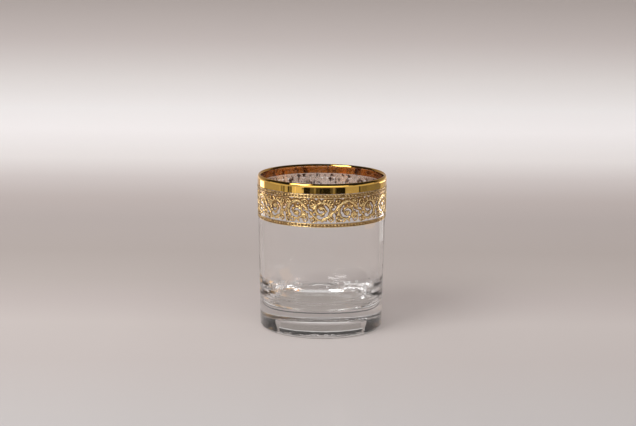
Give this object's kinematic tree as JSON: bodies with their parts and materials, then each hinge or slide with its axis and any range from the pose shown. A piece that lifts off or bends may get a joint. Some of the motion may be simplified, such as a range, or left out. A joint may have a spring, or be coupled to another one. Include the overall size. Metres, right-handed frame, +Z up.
{
  "type": "rocks tumbler",
  "caption": "Straight-sided clear glass rocks tumbler with a heavy base, a polished gold rim band and a gold scrollwork frieze between beaded gold borders.",
  "frame": {"origin": "middle of the foot ring, on the surface that the glass stands on", "axes": "+Z up along the axis of the glass, -Y towards the viewer of the picture"},
  "size_m": [0.076, 0.076, 0.0903],
  "materials": {
    "clear_glass": "clear, fire-polished",
    "bright_gold": "fired gold, burnished to a mirror",
    "relief_gold": "fired gold over raised paste, satin"
  },
  "bodies": {
    "root": {"glass_tumbler": "clear_glass", "gold_rim_band": "bright_gold", "frieze_upper_border": "relief_gold", "frieze_lower_border": "relief_gold", "scroll_spray_01": "relief_gold", "scroll_spray_02": "relief_gold", "scroll_spray_03": "relief_gold", "scroll_spray_04": "relief_gold", "scroll_spray_05": "relief_gold", "scroll_spray_06": "relief_gold", "scroll_spray_07": "relief_gold", "scroll_spray_08": "relief_gold", "scroll_spray_09": "relief_gold", "scroll_spray_10": "relief_gold", "scroll_spray_11": "relief_gold", "scroll_spray_12": "relief_gold", "scroll_spray_13": "relief_gold", "scroll_spray_14": "relief_gold", "scroll_spray_15": "relief_gold", "scroll_spray_16": "relief_gold"}
  },
  "joints": []
}
